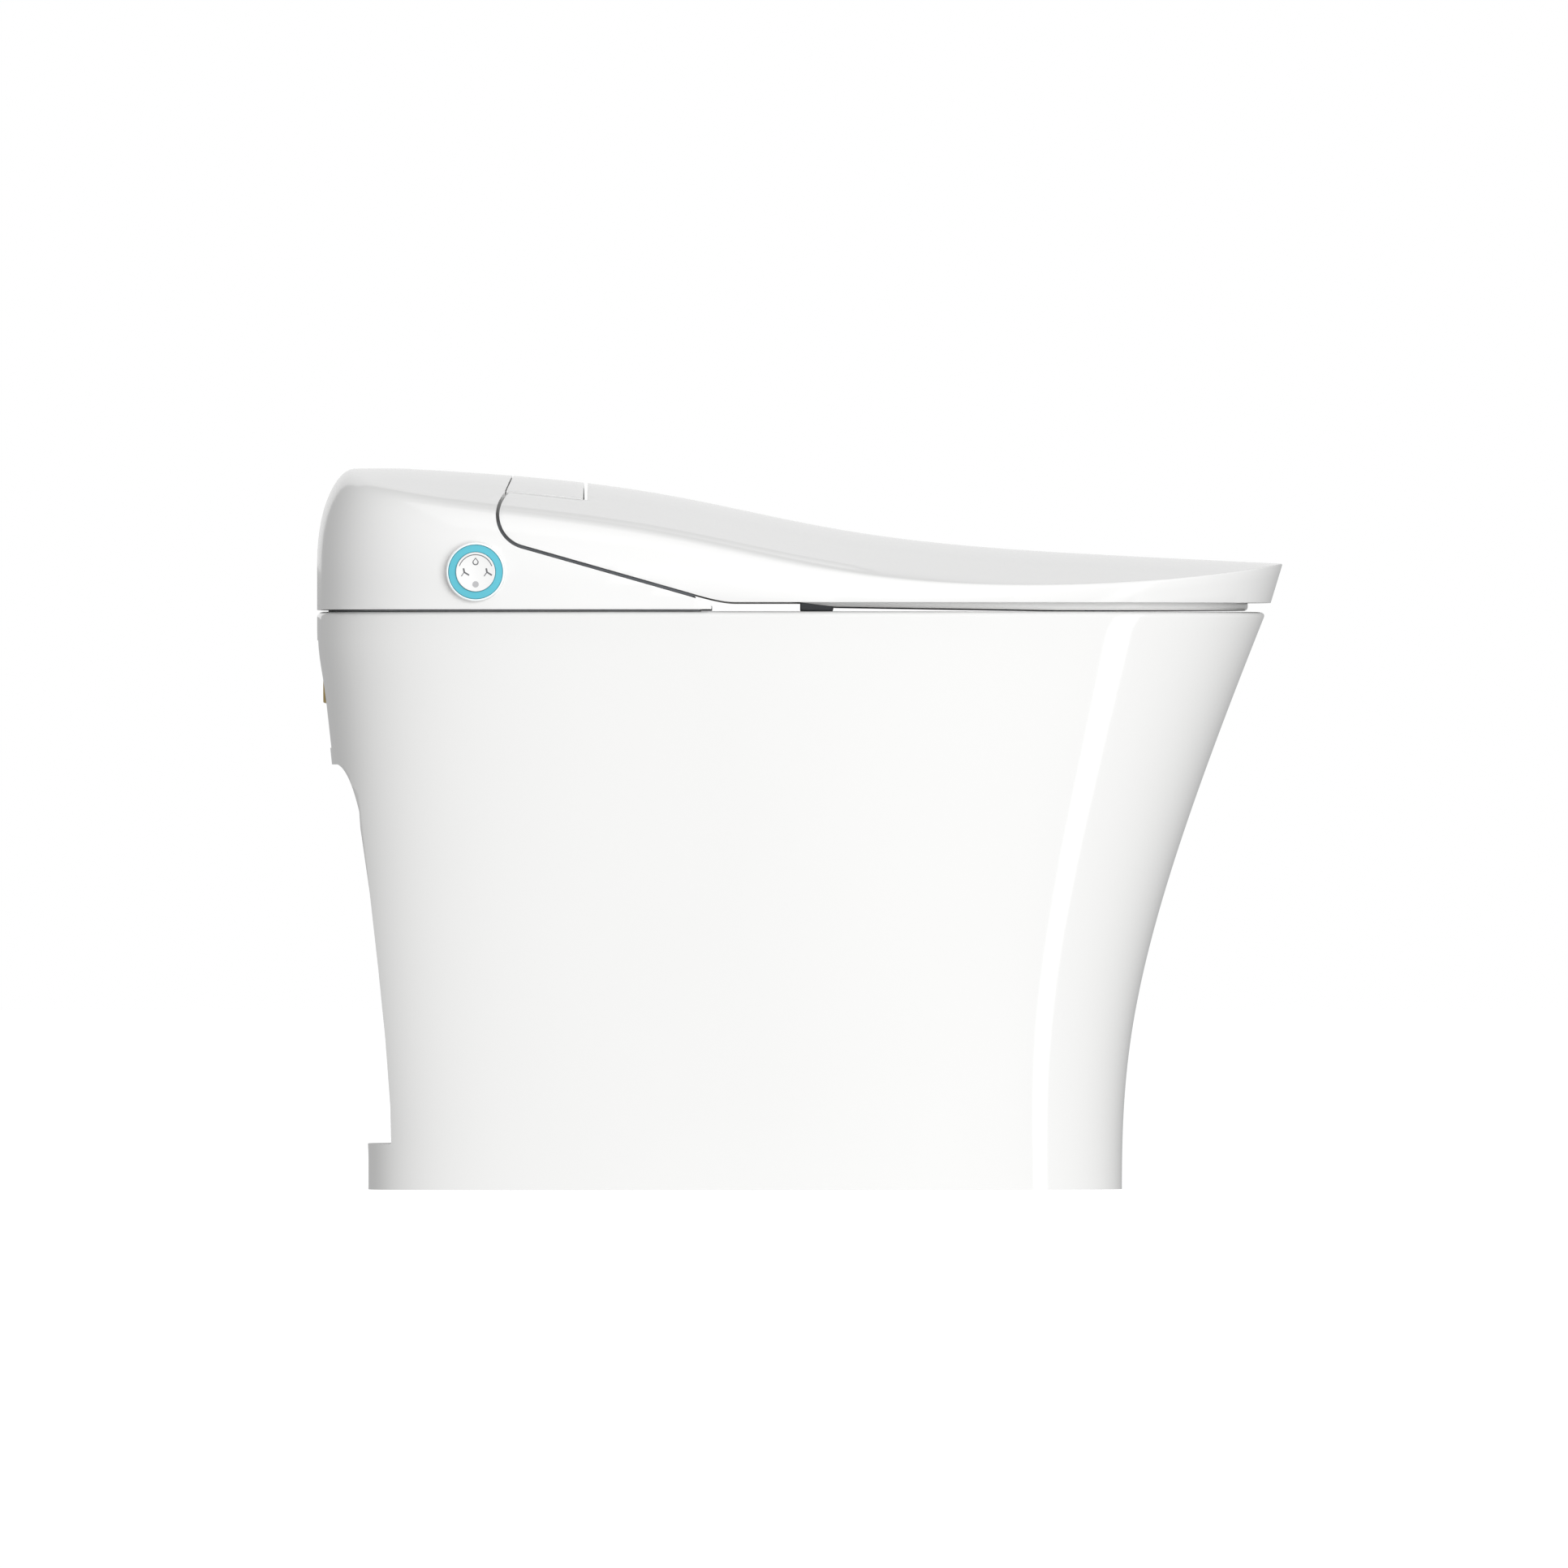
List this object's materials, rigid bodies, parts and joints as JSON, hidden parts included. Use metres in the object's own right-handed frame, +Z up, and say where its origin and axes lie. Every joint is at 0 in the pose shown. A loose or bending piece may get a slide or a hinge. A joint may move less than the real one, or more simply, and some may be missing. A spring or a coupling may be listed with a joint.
{
  "type": "electric bidet seat on toilet pan",
  "caption": "One-piece skirted toilet pan with an electric bidet seat unit: heated hinged seat, hinged lid flush with the housing, washing nozzles, air dryer and a side dial with a light ring.",
  "frame": {"origin": "on the floor under the middle of the whole object's box", "axes": "+Z up, -Y towards the front of the bowl, +X to the left of the person who sits, in the direction of the hinge line"},
  "size_m": [0.4, 0.7, 0.5228],
  "materials": {
    "glaze": "high-gloss white vitreous glaze",
    "white_gloss": "glossy white moulded plastic",
    "white_satin": "satin white moulded plastic",
    "light_ring": "frosted light guide, pale cyan glow",
    "dark_rubber": "matt dark grey rubber",
    "grey_plastic": "matt grey moulded plastic",
    "dark_plastic": "matt black moulded plastic",
    "steel": "brushed stainless steel",
    "brass": "machined brass",
    "circuit_board": "green solder mask with satin gloss",
    "heater_foil": "copper-toned foil heater"
  },
  "bodies": {
    "pan_and_unit": {"ceramic_pan": "glaze", "outlet_seal": "dark_rubber", "service_plate": "grey_plastic", "water_inlet": "brass", "cord_gland": "dark_plastic", "flush_tank": "grey_plastic", "flush_tank_lid": "grey_plastic", "flush_pump": "dark_plastic", "flush_hose": "dark_rubber", "deck_gasket": "dark_rubber", "base_plate": "grey_plastic", "rear_cover": "white_gloss", "hinge_cover": "white_gloss", "floor_bracket_left": "steel", "floor_bracket_right": "steel", "mounting_bolt_left": "steel", "mounting_bolt_right": "steel", "hinge_bracket_left": "steel", "hinge_bracket_right": "steel", "hinge_pin_left": "steel", "hinge_pin_right": "steel", "seat_damper": "dark_plastic", "nozzle_guide": "grey_plastic", "rear_motor": "steel", "front_motor": "steel", "instant_heater": "grey_plastic", "dryer_housing": "dark_plastic", "dryer_duct": "dark_plastic", "solenoid_valve": "brass", "deodoriser": "grey_plastic", "control_board": "circuit_board", "power_board": "circuit_board", "light_ring": "light_ring", "dial_encoder": "dark_plastic"},
    "seat_ring": {"seat_top": "white_gloss", "seat_base": "white_satin", "seat_heater": "heater_foil", "seat_bumper_rear_left": "dark_rubber", "seat_bumper_rear_right": "dark_rubber", "seat_bumper_front_left": "dark_rubber", "seat_bumper_front_right": "dark_rubber"},
    "lid": {"lid_shell": "white_gloss", "lid_liner": "white_satin", "lid_bumper_left": "dark_rubber", "lid_bumper_right": "dark_rubber", "lid_damper": "dark_plastic"},
    "dial_slider": {"dial_stem": "steel"},
    "dial": {"dial_cap": "white_gloss"},
    "rear_nozzle_body": {"rear_nozzle": "white_satin"},
    "front_nozzle_body": {"front_nozzle": "white_satin"},
    "rear_pinion_body": {"rear_pinion": "grey_plastic"},
    "front_pinion_body": {"front_pinion": "grey_plastic"},
    "fan": {"dryer_fan": "grey_plastic"}
  },
  "joints": [
    {"name": "seat_hinge", "type": "hinge", "parent": "pan_and_unit", "child": "seat_ring", "pos_m": [0, 0.1943, 0.4882], "axis": [1, 0, 0], "range_deg": [-92, 0]},
    {"name": "lid_hinge", "type": "hinge", "parent": "seat_ring", "child": "lid", "pos_m": [0, 0.1943, 0.4882], "axis": [-1, 0, 0], "range_deg": [0, 95]},
    {"name": "dial_press", "type": "slide", "parent": "pan_and_unit", "child": "dial_slider", "axis": [1, 0, 0], "range_m": [0, 0.0015], "stiffness_N_per_m": 800},
    {"name": "dial_turn", "type": "hinge", "parent": "dial_slider", "child": "dial", "pos_m": [-0.19, 0.2341, 0.4469], "axis": [1, 0, 0], "range_deg": [-35, 35], "stiffness_Nm_per_rad": 0.02},
    {"name": "rear_nozzle_slide", "type": "slide", "parent": "pan_and_unit", "child": "rear_nozzle_body", "axis": [0, -0.9063, -0.4226], "range_m": [0, 0.105]},
    {"name": "front_nozzle_slide", "type": "slide", "parent": "pan_and_unit", "child": "front_nozzle_body", "axis": [0, -0.9063, -0.4226], "range_m": [0, 0.105]},
    {"name": "rear_pinion_spin", "type": "hinge", "parent": "pan_and_unit", "child": "rear_pinion_body", "pos_m": [0.011, 0.18135, 0.46931], "axis": [1, 0, 0], "range_deg": [-970, 0]},
    {"name": "front_pinion_spin", "type": "hinge", "parent": "pan_and_unit", "child": "front_pinion_body", "pos_m": [-0.011, 0.18135, 0.46931], "axis": [1, 0, 0], "range_deg": [-970, 0]},
    {"name": "dryer_fan_spin", "type": "hinge", "parent": "pan_and_unit", "child": "fan", "pos_m": [0.092, 0.278, 0.4388], "axis": [0, 0, 1], "continuous": true}
  ],
  "couplings": [
    {"joint": "rear_pinion_spin", "follows": "rear_nozzle_slide", "rad_per_m": -160},
    {"joint": "front_pinion_spin", "follows": "front_nozzle_slide", "rad_per_m": -160}
  ]
}
